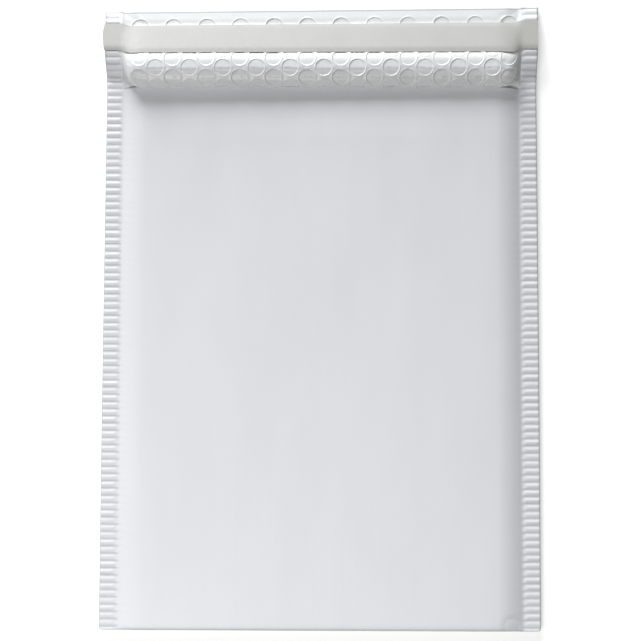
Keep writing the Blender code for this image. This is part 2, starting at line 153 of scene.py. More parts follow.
# Bubbles of the lining, which show as round dimples
BUBBLE = 0.010
BUBBLE_DEPTH = 0.0003
BUBBLE_UNEVENNESS = 0.35
FLOOR_DOME = 0.1
BUBBLE_COLUMN = 0.00968
BUBBLE_SHIFT = 0.0016
BUBBLE_ROW = 0.00588
FIRST_BUBBLE = 0.0094
BUBBLE_MARGIN = 0.0015
RIM_HEIGHT = 0.00012
RIM_AT = 1.01
RIM_WIDTH = 0.045
RIM_REACH = 1.14
WALL_AT = 0.89
WALL_WIDTH = 0.10
RIM_SIDES = 40
RIM_RADII = (1.10, 1.05, 1.01, 0.97, 0.93, 0.89, 0.84, 0.72, 0.60, 0.48, 0.36, 0.24, 0.12)

# Streaks and swells of the front panel
STREAK = 0.00004
STREAK_PITCH = 0.0045
STREAK_WANDER = 0.004
STREAK_RUN = 0.09
SWELL = 0.0001
SWELL_ACROSS = 0.024
SWELL_ALONG = 0.11

# Puckers and ripples beside the seals, and puckers and a dent by the bottom fold
SEAM_PUCKER = 0.0001
SEAM_PUCKER_PITCH = 0.0052
SEAM_PUCKER_REACH = 0.004
SEAM_SLANT = 0.2
SEAM_RIPPLE = 0.00013
SEAM_RIPPLE_RUN = 0.008
SEAM_RIPPLE_REACH = 0.003
RIPPLE_SLANT = 0.3
RIPPLE_UNEVENNESS = 0.6
FOLD_PUCKER = 0.00015
FOLD_PUCKER_PITCH = 0.011
FOLD_PUCKER_REACH = 0.006
FOLD_SHIFT = 0.3
CORNER_DENT = 0.0011
CORNER_DENT_SIZE = 0.0035
CORNER_DENT_AT = (0.1085, 0.003)

# Crumples, swells and creases of the flap's face
CRUMPLE = 0.001
CRUMPLE_ALONG = 0.0023
CRUMPLE_ACROSS = 0.004
CRUMPLE_REACH = 0.009
CRUMPLE_START = 0.002
CRUMPLE_SLANT = 0.5
FACE_SWELL = 0.00026
FACE_SWELL_ACROSS = 0.013
FACE_SWELL_ALONG = 0.008
FACE_SLANT = 0.6
FACE_START = 0.004
FACE_FADE = 0.003
FACE_MEET = 0.0025
CREASE_DEPTH = 0.0003
CREASE_WIDTH = 0.0006
CREASE_WANDER = 0.0008
CREASE_TURN = 0.011
CREASE_RUN = 0.017
CREASE_MEAN = 0.6
CREASE_UNEVENNESS = 0.4
CREASE_STRETCHES = (4, 6)

# Shifts that give the right seal chance differences of its own
OTHER_SEAM = 0.4
OTHER_SEAL = 500

# Release liner
LINER = 0.021
LINER_THICKNESS = 0.0002
ADHESIVE_THICKNESS = 0.00015
LINER_TO_TIP = 0.0100
LINER_PROUD = 0.0010
LINER_BOW = 0.35
LINER_WAVE = 0.00006
LINER_WAVE_PITCH = 0.019
LINER_WAVE_SLANT = 0.1
LINER_LIFT = 0.0001
LINER_ROLL = 0.0030

# Camera, as fitted to the photograph's outline
CAMERA_DISTANCE = 1.2
CAMERA_AIM = Vector((0.0003, -0.0026, 0))
CAMERA_TILT = math.radians(4.05)
CAMERA_PAN = math.radians(-0.89)
CAMERA_ROLL = math.radians(0.2)
CAMERA_LENS = 117.6

# How fine the meshes are
RIB_STEP = RIB_PITCH / 6
SEAL_STEP = 0.0008
FLAP_STEP = 0.0008
LEAST_STEP = 0.0002
FOLD_SHARES = (0.02, 0.08, 0.2, 0.4, 0.7)
BEAD_SHARES = (0.6, 0.3, 0.1)
OUTSIDE_STEPS = (0.0012, 0.0045)
HIDDEN_STEPS = (0.004, 0.02)
LINING_STEPS = (0.003, 0.02)
FACE_STEPS = (0.0009, 0.0011)
POCKET_STEP = 0.03
POCKET_MARGIN = 0.001
LINING_FOLD_ROWS = (0.002, 0.004)
RIM_CLEARANCE = 0.06
LINER_STEPS = (0.0015, 0.0012)
SAMPLES = 24
SHARP_ANGLE = math.radians(50)

# Distances under which points count as one, when patches are welded and when they are made
MERGE = 1e-6
TOUCH = 1e-8

# Search for the slope at which the flap's tip comes to rest
STEEPEST = math.radians(85)
HALVINGS = 40

# Random waves
SEED = 7000
TURNS = 997

# Light, floor and the values that all the films share
SOFT_COLOUR = (1, 0.985, 0.95, 1)
SOFT_LIGHT = 0.06
FLOOR_HALF = 3.0
FLOOR_COLOUR = (0.82, 0.82, 0.82, 1)
FLOOR_GLOW = 0.5
CLOUDS = (38, (1, 0.35, 1), 3)
GRAIN = (900, (1, 0.6, 1), 2)
LINES = (420, (1, 0.02, 1), 2)
NOISE_MIDDLE = (0.3, 0.7)
BUMP_STRENGTH = 0.5
FILM_IOR = 1.5
COAT_ROUGHNESS = 0.3

# Names of the marks on the film that the materials read, where they paint shade: a dark outline along its
# edges and bottom fold, and dark lines in the seals' grooves
EDGE_SHADE_MARK = "painted_edge_shade"
GROOVE_SHADE_MARK = "painted_groove_shade"

# Values that follow from those above
film_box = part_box("outer_film")
HALF = WIDTH / 2
SEAL_INNER = HALF - SEAL_WIDTH
WALL = FILM + GAP
LINING_HALF = SEAL_INNER - GAP
TIP = BODY_LENGTH + FLAP_LENGTH
LINING_START = FILM_END + GAP
LINING_STOP = TIP - FILM_END
LINER_STOP = TIP - LINER_TO_TIP
LINER_START = LINER_STOP - LINER
ORIGIN = np.array([film_box[1].x - HALF, film_box[0].y + BODY_LENGTH, 0.0])


# The web's path


def run_of(stretches):
    """Arc lengths, Y, Z and headings down a run of stretches, each (length, first angle, last angle)."""
    s, y, z, turned = [0.0], [0.0], [0.0], [stretches[0][1]]
    for length, first, last in stretches:
        step = length / SAMPLES
        for i in range(SAMPLES):
            angle = first + (last - first) * (i + 0.5) / SAMPLES
            s.append(s[-1] + step)
            y.append(y[-1] + step * math.cos(angle))
            z.append(z[-1] + step * math.sin(angle))
            turned.append(first + (last - first) * (i + 1) / SAMPLES)
    return [np.array(values) for values in (s, y, z, turned)]


def hump_stretches(slope):
    """Up from the mouth, back over it, down three faces with creases between, and on to the tip."""
    stretches = (
        (RISE_RADIUS * LEAN, 0, LEAN),
        (LEAN_LENGTH, LEAN, LEAN),
        (BEND_RADIUS * (LEAN - LOW_FACE), LEAN, LOW_FACE),
        (LOW_FACE_LENGTH, LOW_FACE, LOW_FACE - LOW_FACE_CURL),
        (CREASE, LOW_FACE - LOW_FACE_CURL, MIDDLE_FACE),
        (MIDDLE_FACE_LENGTH, MIDDLE_FACE, MIDDLE_FACE),
        (CREASE, MIDDLE_FACE, TOP_FACE),
        (TOP_FACE_LENGTH, TOP_FACE, TOP_FACE),
        (SLOPE_BEND, TOP_FACE, -slope),
    )
    used = sum(length for length, _, _ in stretches) + TIP_BEND + TIP_SLOPE_LENGTH
    return (
        *stretches,
        (FLAP_LENGTH - used, -slope, -slope),
        (TIP_BEND, -slope, -TIP_SLOPE),
        (TIP_SLOPE_LENGTH, -TIP_SLOPE, -TIP_SLOPE),
    )


def settled_slope():
    """The slope at which the flap's tip just comes down to its resting height."""
    low, high = 0.0, STEEPEST
    for _ in range(HALVINGS):
        middle = (low + high) / 2
        if run_of(hump_stretches(middle))[2][-1] > TIP_LIFT:
            low = middle
        else:
            high = middle
    return (low + high) / 2


def seal_run(tip_y):
    """The run along a seal: its last stretch is straight, down to where the whole tip lies."""
    stretches = (
        (SEAL_RUN, 0, SEAL_START),
        (SEAL_RISE_BEND, SEAL_START, SEAL_RISE),
        (SEAL_RISE_LENGTH, SEAL_RISE, SEAL_RISE),
        (SEAL_CREST_LENGTH, SEAL_RISE, -SEAL_FALL),
    )
    run = run_of(stretches)
    s, y, z, _ = (values[-1] for values in run)
    over, drop = tip_y - y, z - TIP_LIFT
    heading = -math.atan2(drop, over)
    # The heading turns to the straight fall within a crease.
    fall = [
        (s + step, y + step * math.cos(heading), z + step * math.sin(heading), heading)
        for step in (CREASE, math.hypot(over, drop))
    ]
    return [np.concatenate([values, ends]) for values, ends in zip(run, zip(*fall))]


def matching_knots():
    """Where the hump's run and a seal's run pass from one stretch to the next together."""
    ends = np.cumsum([length for length, _, _ in HUMP])
    hump = [0.0, ends[0], ends[1], ends[2], ends[7], FLAP_LENGTH]
    seal = np.cumsum([0.0, SEAL_RUN, SEAL_RISE_BEND, SEAL_RISE_LENGTH, SEAL_TOP_LENGTH])
    return hump, [*seal, SEAL_S[-1]]


def face_run():
    """Lengths along the face of the flap's lining, which is shorter on the inside of a bend."""
    thick = WALL + LINING
    y = HUMP_Y - thick * np.sin(HUMP_TURN)
    z = HUMP_Z + thick * np.cos(HUMP_TURN)
    return np.concatenate([[0.0], np.cumsum(np.hypot(np.diff(y), np.diff(z)))])


HUMP = hump_stretches(settled_slope())
HUMP_S, HUMP_Y, HUMP_Z, HUMP_TURN = run_of(HUMP)
SEAL_S, SEAL_Y, SEAL_Z, SEAL_TURN = seal_run(HUMP_Y[-1])
HUMP_KNOTS, SEAL_KNOTS = matching_knots()
FACE_S = face_run()
SEAL_TOP_Y = SEAL_Y - SEAL_THICKNESS * np.sin(SEAL_TURN)


# Surfaces over the web


def shoulder(x):
    """0 on a seal, 1 where the panel has its full thickness."""
    inside = np.clip((SEAL_INNER - np.abs(x)) / SHOULDER, 0, 1)
    return 1 - (1 - inside) ** SHOULDER_POWER


def fold(v):
    """0 at the bottom edge, 1 past the rounding of the bottom fold."""
    inside = np.clip(v / FOLD_DEPTH, 0, 1)
    return (1 - (1 - inside) ** FOLD_TIGHTNESS) ** (1 / FOLD_TIGHTNESS)


def humped(x):
    """0 on a seal, 1 where the hump has its full height."""
    inside = np.clip((SEAL_INNER - np.abs(x)) / HUMP_END, 0, 1)
    return 1 - (1 - inside) ** HUMP_END_POWER


def seal_lift(v):
    """A seal lies halfway up the body's sides, and lower where only the flap hangs on it."""
    return SEAL_LIFT + (FLAP_SEAL_LIFT - SEAL_LIFT) * smooth((v - BODY_LENGTH) / LIFT_CHANGE)


def smooth(value):
    """0 below 0 and 1 above 1, with a soft rise between."""
    value = np.clip(value, 0, 1)
    return value * value * (3 - 2 * value)


def wobble(place, pitch, number):
    """A smooth random wave between -1 and 1 with a new turn every pitch; each number is its own wave."""
    turns = np.random.default_rng(SEED + number).uniform(-1, 1, TURNS)
    scaled = np.asarray(place, float) / pitch
    whole = np.floor(scaled)
    share = smooth(scaled - whole)
    index = whole.astype(int)
    return turns[index % TURNS] * (1 - share) + turns[(index + 1) % TURNS] * share


def seal_length(v):
    """The distance along a seal, on which its ribs are spaced."""
    flap = BODY_LENGTH + np.interp(v - BODY_LENGTH, HUMP_KNOTS, SEAL_KNOTS)
    return np.where(v <= BODY_LENGTH, v, flap)


def ridge(along):
    """1 on each rib and 0 in each groove, for a distance counted in ribs."""
    return 0.5 + 0.5 * np.cos(2 * np.pi * along)


def rib(x, v):
    """How far a seal's ribs move both of its faces: rounded bars with ragged inner ends."""
    along = seal_length(v) / RIB_PITCH
    number = np.round(along).astype(int)
    side = np.where(x > 0, OTHER_SEAL, 0)
    ragged = wobble(number + side, 1.0, 1) * RIB_RAGGED
    reach = smooth((np.abs(x) - SEAL_INNER - RIB_START - ragged) / RIB_FLANK)
    height = 1 + RIB_UNEVENNESS * wobble(number + side, 1.0, 2)
    end = smooth((np.abs(x) - HALF + 2 * EDGE_BEAD) / (2 * EDGE_BEAD))
    bead = 1 - (1 - RIB_END_HEIGHT) * end
    return RIB_HEIGHT * height * reach * bead * (ridge(along) ** RIB_SHARPNESS - 0.5)


def drawn_in(x, v):
    """The panels' bulge pulls the seals in, most of all at the mouth; the bottom corners are round."""
    body = np.clip(v / BODY_LENGTH, 0, 1) ** DRAW_IN_SPREAD
    share = np.where(v < BODY_LENGTH, body, 1 - (v - BODY_LENGTH) / FLAP_LENGTH)
    corner = CORNER_RADIUS - np.minimum(v, CORNER_RADIUS)
    cut = CORNER_RADIUS - np.sqrt(CORNER_RADIUS**2 - corner**2)
    outer = np.clip((np.abs(x) - SEAL_INNER) / SEAL_WIDTH, 0, 1) ** CORNER_POWER
    return x * (1 - share * DRAW_IN / HALF) - np.sign(x) * cut * outer


def place(x, v, height):
    """The points at x across and v along the web, at heights over its underside."""
    x, v, height = np.broadcast_arrays(*(np.asarray(a, float) for a in (x, v, height)))
    height = height + rib(x, v)
    s = np.maximum(v - BODY_LENGTH, 0)
    h = humped(x)
    on_seal = np.interp(s, HUMP_KNOTS, SEAL_KNOTS)
    y, z, turned = (
        (1 - h) * np.interp(on_seal, SEAL_S, at_seal) + h * np.interp(s, HUMP_S, at_hump)
        for at_seal, at_hump in ((SEAL_Y, HUMP_Y), (SEAL_Z, HUMP_Z), (SEAL_TURN, HUMP_TURN))
    )
    y = y + TIP_SKEW * x / HALF * s / FLAP_LENGTH
    rest = TIP_LIFT * s / FLAP_LENGTH
    z = rest + (z - rest) * (1 - HUMP_SKEW * x / HALF) + seal_lift(v) * (1 - shoulder(x))
    body = v <= BODY_LENGTH
    flat_z = SEAL_LIFT * (1 - shoulder(x) * fold(v)) + height
    return ORIGIN + np.stack(
        [
            drawn_in(x, v),
            np.where(body, v - BODY_LENGTH, y - height * np.sin(turned)),
            np.where(body, flat_z, z + height * np.cos(turned)),
        ],
        axis=-1,
    )


def pocket(x, v):
    """Height of the room inside, which closes towards the mouth."""
    full = POCKET_SIDE + (POCKET_MIDDLE - POCKET_SIDE) * (1 - (x / SEAL_INNER) ** 2)
    closing = smooth(1 - (BODY_LENGTH - v) / MOUTH_CLOSING)
    return full + (POCKET_MOUTH - full) * closing


def front(x, v):
    """Height of the front panel's outer face."""
    full = 2 * (WALL + LINING) + pocket(x, v)
    return SEAL_THICKNESS + shoulder(x) * fold(v) * (full - SEAL_THICKNESS)


def lining(x, v):
    """Thickness of one wall of the lining."""
    thick = LINING_EDGE + (LINING - LINING_EDGE) * shoulder(x) * fold(v)
    tip = np.clip((LINING_STOP - v) / TIP_TAPER, 0, 1)
    return np.minimum(thick, LINING_TIP + (LINING - LINING_TIP) * tip)


def panel_wrinkles(x, v):
    """Faint long streaks down the front panel, and small puckers beside the seals and the fold."""
    streaks = STREAK * wobble(x + STREAK_WANDER * wobble(v, STREAK_RUN, 3), STREAK_PITCH, 4)
    streaks = streaks + SWELL * wobble(x, SWELL_ACROSS, 5) * wobble(v, SWELL_ALONG, 6)
    inside = SEAL_INNER - np.abs(x)
    seam_v = v + np.where(x > 0, OTHER_SEAM, 0)
    uneven = 1 + RIPPLE_UNEVENNESS * wobble(seam_v, SEAM_RIPPLE_RUN, 9)
    ripple = np.cos(2 * np.pi * (v + RIPPLE_SLANT * inside) / RIB_PITCH) * uneven
    pull = SEAM_PUCKER * wobble(seam_v + SEAM_SLANT * inside, SEAM_PUCKER_PITCH, 7)
    pull = pull * np.exp(-np.abs(inside) / SEAM_PUCKER_REACH)
    pull = pull + SEAM_RIPPLE * ripple * np.exp(-np.abs(inside) / SEAM_RIPPLE_REACH)
    fold_pull = FOLD_PUCKER * wobble(x + FOLD_SHIFT, FOLD_PUCKER_PITCH, 8) * np.exp(-v / FOLD_PUCKER_REACH)
    dent_x, dent_v = CORNER_DENT_AT
    corner = np.exp(-(((x - dent_x) / CORNER_DENT_SIZE) ** 2) - ((v - dent_v) / CORNER_DENT_SIZE) ** 2)
    return (streaks + pull + fold_pull) * shoulder(x) * fold(v) - CORNER_DENT * corner * fold(v)


# Mesh building


def grid_faces(count_x, count_v):
    """Quads of a grid whose vertices are numbered along x first."""
    index = np.arange(count_x * count_v).reshape(count_v, count_x)
    corners = (index[:-1, :-1], index[:-1, 1:], index[1:, 1:], index[1:, :-1])
    return np.stack([corner.ravel() for corner in corners], axis=-1)


class Shell:
    """Collects patches whose borders meet, and welds them into one mesh."""

    def __init__(self):
        self.points, self.faces, self.count = [], [], 0

    def add(self, points, faces):
        self.points.append(np.asarray(points, float).reshape(-1, 3))
        self.faces += [tuple(int(i) + self.count for i in face) for face in faces]
        self.count += len(self.points[-1])

    def grid(self, columns, rows, surface):
        x, v = np.meshgrid(columns, rows)
        self.add(surface(x, v), grid_faces(len(columns), len(rows)))

    def strip(self, first, second):
        """Faces between two lines of points of equal length."""
        self.add(np.concatenate([first, second]), grid_faces(len(first), 2))

    def zipped(self, stations_a, first, stations_b, second):
        """Triangles between two lines of points whose stations need not match."""
        faces, i, j, a, b = [], 0, 0, len(stations_a), len(stations_b)
        while i < a - 1 or j < b - 1:
            if j == b - 1 or (i < a - 1 and stations_a[i + 1] <= stations_b[j + 1]):
                faces.append((i, i + 1, a + j))
                i += 1
            else:
                faces.append((i, a + j + 1, a + j))
                j += 1
        self.add(np.concatenate([first, second]), faces)

    def patch(self, outline, inside, lines, surface):
        """Triangles over scattered (x, v) points, with an edge down each line."""
        on_lines = [point for line in lines for point in line]
        points = list(dict.fromkeys([*outline, *inside, *on_lines]))
        number = {point: i for i, point in enumerate(points)}
        edges = [(number[a], number[b]) for line in lines for a, b in zip(line, line[1:])]
        triangles_inside, with_sources = 1, True
        made = delaunay_2d_cdt(
            [Vector(point) for point in points],
            edges,
            [[number[point] for point in outline]],
            triangles_inside,
            TOUCH,
            with_sources,
        )
        used = np.array([points[source[0]] for source in made[3]])
        self.add(surface(used[:, 0], used[:, 1]), made[2])

    @staticmethod
    def mark(data):
        """Attributes for painted shade: 1 along the film's edges, its tip and the bottom fold, and in the
        grooves between the seals' ribs.
        """
        points = np.empty(len(data.vertices) * 3)
        data.vertices.foreach_get("co", points)
        x, y, _ = (points.reshape(-1, 3) - ORIGIN).T
        # Painted shade: a dark outline along the sides, the tip and the bottom fold, where the film turns
        # away and meets the floor.
        sides = smooth((np.abs(x) - drawn_in(HALF, y + BODY_LENGTH) + EDGE_BEAD) / EDGE_BEAD)
        y = y - TIP_SKEW * x / HALF * np.clip(y / HUMP_Y[-1], 0, 1)
        tip = smooth((y - HUMP_Y[-1] + 2 * EDGE_BEAD) / (2 * EDGE_BEAD))
        bottom = smooth((EDGE_BEAD - BODY_LENGTH - y) / EDGE_BEAD)
        along = BODY_LENGTH + np.where(y < 0, y, np.interp(y, SEAL_TOP_Y, SEAL_S))
        # Painted shade: dark lines in the grooves between the seals' ribs.
        groove = smooth(1 - ridge(along / RIB_PITCH) / GROOVE_SHARE)
        groove *= smooth((np.abs(x) - SEAL_INNER - GROOVE_START) / GROOVE_FLANK)
        marks = {EDGE_SHADE_MARK: np.maximum(np.maximum(sides, tip), bottom), GROOVE_SHADE_MARK: groove}
        for name, values in marks.items():
            attribute = data.attributes.new(name, "FLOAT", "POINT")
            attribute.data.foreach_set("value", values.astype(np.float32))

    def finish(self, name, material, slot, *nodes):
        """Makes the piece, which rides on the body and stands for its solids."""
        data = bpy.data.meshes.new(name)
        data.from_pydata(np.concatenate(self.points).tolist(), [], self.faces)
        mesh = bmesh.new()
        mesh.from_mesh(data)
        bmesh.ops.remove_doubles(mesh, verts=mesh.verts, dist=MERGE)
        bmesh.ops.recalc_face_normals(mesh, faces=mesh.faces)
        if mesh.calc_volume(signed=True) < 0:
            bmesh.ops.reverse_faces(mesh, faces=mesh.faces)
        mesh.to_mesh(data)
        mesh.free()
        data.shade_smooth()
        data.set_sharp_from_angle(angle=SHARP_ANGLE)
        data.materials.append(material)
        self.mark(data)
        piece = bpy.data.objects.new(name, data)
        bpy.context.scene.collection.objects.link(piece)
        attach(piece, "root")
        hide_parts(*nodes)
        return piece


def mirrored(distances):
    """The distances on both sides of the middle, in order."""
    return np.array(sorted({-d for d in distances} | set(distances)))


def stations(low, high, step):
    """Evenly spaced places from low to high, about a step apart."""
    return list(np.linspace(low, high, max(2, round((high - low) / step) + 1)))


def columns_to(edge, shoulder_step, middle_step):
    """Stations across a panel that ends at this distance from the middle."""
    middle = SEAL_INNER - SHOULDER
    steps = stations(middle, SEAL_INNER, shoulder_step)[:-1]
    return mirrored([*stations(0, middle, middle_step)[:-1], *steps, edge])


# Nodes for the materials


def add_node(tree, kind, **settings):
    node = tree.nodes.new(kind)
    for name, value in settings.items():
        setattr(node, name, value)
    return node


def stretched_noise(tree, scale, stretch, detail):
    """Noise over the object's own coordinates, drawn out along some axes."""
    coordinates = add_node(tree, "ShaderNodeTexCoord")
    mapping = add_node(tree, "ShaderNodeMapping")
    mapping.inputs["Scale"].default_value = stretch
    tree.links.new(coordinates.outputs["Object"], mapping.inputs["Vector"])
    noise = add_node(tree, "ShaderNodeTexNoise")
    noise.inputs["Scale"].default_value = scale
    noise.inputs["Detail"].default_value = detail
    tree.links.new(mapping.outputs["Vector"], noise.inputs["Vector"])
    return noise.outputs["Fac"]


def between(tree, fac, low, high):
    """Maps a noise's middle range to the range from low to high."""
    node = add_node(tree, "ShaderNodeMapRange")
    node.inputs["From Min"].default_value, node.inputs["From Max"].default_value = NOISE_MIDDLE
    node.inputs["To Min"].default_value = low
    node.inputs["To Max"].default_value = high
    tree.links.new(fac, node.inputs["Value"])
    return node.outputs["Result"]


def mixed_colour(tree, fac, dark, light):
    node = add_node(tree, "ShaderNodeMix", data_type="RGBA")
    node.inputs["A"].default_value = (*dark, 1)
    node.inputs["B"].default_value = (*light, 1)
    tree.links.new(between(tree, fac, 0, 1), node.inputs["Factor"])
    return node.outputs["Result"]


def bumped(tree, fac, distance, under=None):
    node = add_node(tree, "ShaderNodeBump")
    node.inputs["Distance"].default_value = distance
    node.inputs["Strength"].default_value = BUMP_STRENGTH
    tree.links.new(fac, node.inputs["Height"])
    if under is not None:
        tree.links.new(under, node.inputs["Normal"])
    return node.outputs["Normal"]


def darker(tree, colour, where, shade):
    """Painted shade over the colour where a mark says: the dark outline along the film's edges and bottom
    fold, and the dark lines in the seals' grooves.
    """
    mark = add_node(tree, "ShaderNodeAttribute", attribute_name=where)
    node = add_node(tree, "ShaderNodeMix", data_type="RGBA")
    tree.links.new(mark.outputs["Fac"], node.inputs["Factor"])
    tree.links.new(colour, node.inputs["A"])
    node.inputs["B"].default_value = (*shade, 1)
    return node.outputs["Result"]


def film_material(name, dark, light, rough, streak, mottle, coat=0.0, shades=()):
    """A plastic film: mottled colour, uneven gloss, fine streaks down its length."""
    material = bpy.data.materials.new(name)
    material.use_nodes = True
    tree = material.node_tree
    shader = tree.nodes["Principled BSDF"]
    shader.inputs["IOR"].default_value = FILM_IOR
    shader.inputs["Coat Weight"].default_value = coat
    shader.inputs["Coat Roughness"].default_value = COAT_ROUGHNESS
    cloudy = stretched_noise(tree, *CLOUDS)
    grain = stretched_noise(tree, *GRAIN)
    lines = stretched_noise(tree, *LINES)
    colour = mixed_colour(tree, cloudy, dark, light)
    # Painted shade, mixed over the colour where each mark is.
    for where, shade in shades:
        colour = darker(tree, colour, where, shade)
    tree.links.new(colour, shader.inputs["Base Color"])
    tree.links.new(between(tree, grain, *rough), shader.inputs["Roughness"])
    normal = bumped(tree, lines, streak)
    normal = bumped(tree, grain, mottle, normal)
    tree.links.new(normal, shader.inputs["Normal"])
    return material


# Painted shade for the dark outline along the film's edges, its tip and the bottom fold.
PAINTED_EDGE_SHADE = (0.34, 0.345, 0.35)
WHITE_FILM = film_material(
    "white_film",
    dark=(0.79, 0.80, 0.83),
    light=(0.82, 0.83, 0.86),
    rough=(0.36, 0.46),
    streak=0.0001,
    mottle=0.00006,
    # Painted shade: dark lines in the seals' grooves, and the dark outline along the edges.
    shades=((GROOVE_SHADE_MARK, (0.60, 0.61, 0.63)), (EDGE_SHADE_MARK, PAINTED_EDGE_SHADE)),
)
BUBBLE_FILM = film_material(
    "bubble_film",
    dark=(0.74, 0.745, 0.755),
    light=(0.78, 0.785, 0.795),
    rough=(0.26, 0.36),
    streak=0.00006,
    mottle=0.00005,
    coat=0.2,
    # Painted shade: the dark outline at the flap's tip.
    shades=((EDGE_SHADE_MARK, PAINTED_EDGE_SHADE),),
)
RELEASE_FILM = film_material(
    "release_film",
    dark=(0.372, 0.369, 0.352),
    light=(0.392, 0.389, 0.372),
    rough=(0.50, 0.60),
    streak=0.00004,
    mottle=0.00004,
)
ADHESIVE = film_material(
    "adhesive",
    dark=(0.70, 0.66, 0.52),
    light=(0.74, 0.70, 0.57),
    rough=(0.20, 0.34),
    streak=0.00005,
    mottle=0.00008,
)


# Pieces


def flap_rows(stop):
    """Stations down the flap, close enough for the hump's bends and for the ribs on the seals."""
    on_seal = stations(0, SEAL_S[-1], RIB_STEP)
    rows = np.interp(on_seal, SEAL_KNOTS, HUMP_KNOTS).tolist() + stations(0, FLAP_LENGTH, FLAP_STEP)
    last = stop - BODY_LENGTH
    kept = [0.0]
    for row in sorted(rows):
        if kept[-1] + LEAST_STEP < row < last - LEAST_STEP:
            kept.append(row)
    return BODY_LENGTH + np.array([*kept, last])


def seal_columns():
    """Stations from a seal's inner edge to the envelope's edge."""
    bead = [HALF - EDGE_BEAD * share for share in BEAD_SHARES]
    return [*stations(SEAL_INNER, HALF - EDGE_BEAD, SEAL_STEP), *bead, HALF]


def edge_drop(x):
    """The outer edge of a seal is rounded over."""
    inside = np.clip((HALF - np.abs(x)) / EDGE_BEAD, 0, 1)
    return (SEAL_THICKNESS / 2) * (1 - np.sqrt(1 - (1 - inside) ** 2))


def tucked(x, v, height):
    """The front panel's mouth is tucked in under the overhang of the flap."""
    points = place(x, v, height)
    points[..., 1] += TUCK * smooth(1 - (BODY_LENGTH - v) / TUCK_LENGTH) * shoulder(x)
    return points


def outer_film():
    """Both panels, the bottom fold, the ribbed seals and the flap's back, as one closed skin."""
    shell = Shell()
    fold_rows = [FOLD_DEPTH * share for share in FOLD_SHARES]
    body = np.array([0.0, *fold_rows, *stations(FOLD_DEPTH, BODY_LENGTH, RIB_STEP)])
    flap = flap_rows(TIP)
    whole = np.concatenate([body, flap[1:]])
    seal = seal_columns()
    fine = columns_to(SEAL_INNER, *OUTSIDE_STEPS)
    coarse = columns_to(SEAL_INNER, *HIDDEN_STEPS)

    def top(x, v):
        return tucked(x, v, front(x, v) + panel_wrinkles(x, v) - edge_drop(x))

    def under(x, v):
        return place(x, v, edge_drop(x))

    def seal_top(x, v):
        return place(x, v, SEAL_THICKNESS - edge_drop(x))

    def front_inside(x, v):
        return tucked(x, v, front(x, v) - FILM)

    def back_inside(x, v):
        return place(x, v, FILM)

    shell.grid(fine, body, top)
    shell.grid(coarse, whole, under)
    for side in (-1, 1):
        strip = np.array(sorted(side * x for x in seal))
        shell.grid(strip, body, top)
        shell.grid(strip, whole, under)
        shell.grid(strip, flap, seal_top)
        shell.strip(under(strip, TIP), seal_top(strip, TIP))
        shell.strip(under(strip, 0), top(strip, 0))
    shell.zipped(fine, top(fine, 0), coarse, under(coarse, 0))
    inside = body[body >= FILM_END]
    inside[0] = FILM_END
    back = np.concatenate([inside, flap[1:]])
    shell.grid(coarse, inside, front_inside)
    shell.grid(coarse, back, back_inside)
    shell.strip(front_inside(coarse, FILM_END), back_inside(coarse, FILM_END))
    shell.zipped(fine, top(fine, BODY_LENGTH), coarse, front_inside(coarse, BODY_LENGTH))
    shell.strip(under(coarse, TIP), back_inside(coarse, TIP))
    for inner in (-SEAL_INNER, SEAL_INNER):
        shell.strip(front_inside(inner, inside), back_inside(inner, inside))
        shell.strip(seal_top(inner, flap), back_inside(inner, flap))
        mouth = [surface(inner, BODY_LENGTH) for surface in (top, front_inside, back_inside)]
        shell.add(np.array([*mouth, seal_top(inner, BODY_LENGTH)]), [(0, 1, 2, 3)])
        tip = [surface(inner, TIP) for surface in (under, back_inside, seal_top)]
        shell.add(np.array(tip), [(0, 1, 2)])
    return shell.finish("outer_film_skin", WHITE_FILM, "white_film", "outer_film")


def along_face(v):
    """The distance along the flap's face from the mouth."""
    return np.interp(v - BODY_LENGTH, HUMP_S, FACE_S)


def on_flap(distance):
    """The station at a distance along the flap's face."""
    return BODY_LENGTH + np.interp(distance, FACE_S, HUMP_S)


def bubbles():
    """Centres of the dimples, across and along the flap's face, but for those under the liner."""
    found = []
    end = float(along_face(LINING_STOP))
    liner = (along_face(LINER_START) + BUBBLE / 2, along_face(LINER_STOP) - BUBBLE_MARGIN)
    widest = LINING_HALF - BUBBLE / 2 - BUBBLE_MARGIN
    count = int(widest / BUBBLE_COLUMN) + 1
    for row in range(int(end / BUBBLE_ROW)):
        along = end - FIRST_BUBBLE - row * BUBBLE_ROW
        if along < BUBBLE or liner[0] < along < liner[1]:
            continue
        staggered = [i for i in range(-count, count + 1) if (i + row) % 2]
        across = [BUBBLE_SHIFT + i * BUBBLE_COLUMN for i in staggered]
        found += [(x, along) for x in across if abs(x) < widest]
    return found


BUBBLES = bubbles()
CREASES = [
    float(np.interp(sum(length for length, _, _ in HUMP[:i]), HUMP_S, FACE_S)) for i in CREASE_STRETCHES
]


def dimple(x, v):
    """Height of the dimples' relief: a thin raised rim round a shallow, slightly domed floor."""
    along = along_face(v)
    relief = np.zeros(np.broadcast(x, v).shape)
    for number, (cx, centre) in enumerate(BUBBLES):
        far = np.hypot(x - cx, along - centre) / (BUBBLE / 2)
        deep = BUBBLE_DEPTH * (1 + BUBBLE_UNEVENNESS * wobble(number, 1.0, 11))
        wall = smooth((far - WALL_AT) / WALL_WIDTH)
        floor = -deep * (1 - wall) * (1 - FLOOR_DOME + FLOOR_DOME * np.minimum(far, 1) ** 2)
        rim = RIM_HEIGHT * np.exp(-(((far - RIM_AT) / RIM_WIDTH) ** 2))
        relief = np.where(far < RIM_REACH, floor + rim, relief)
    return relief


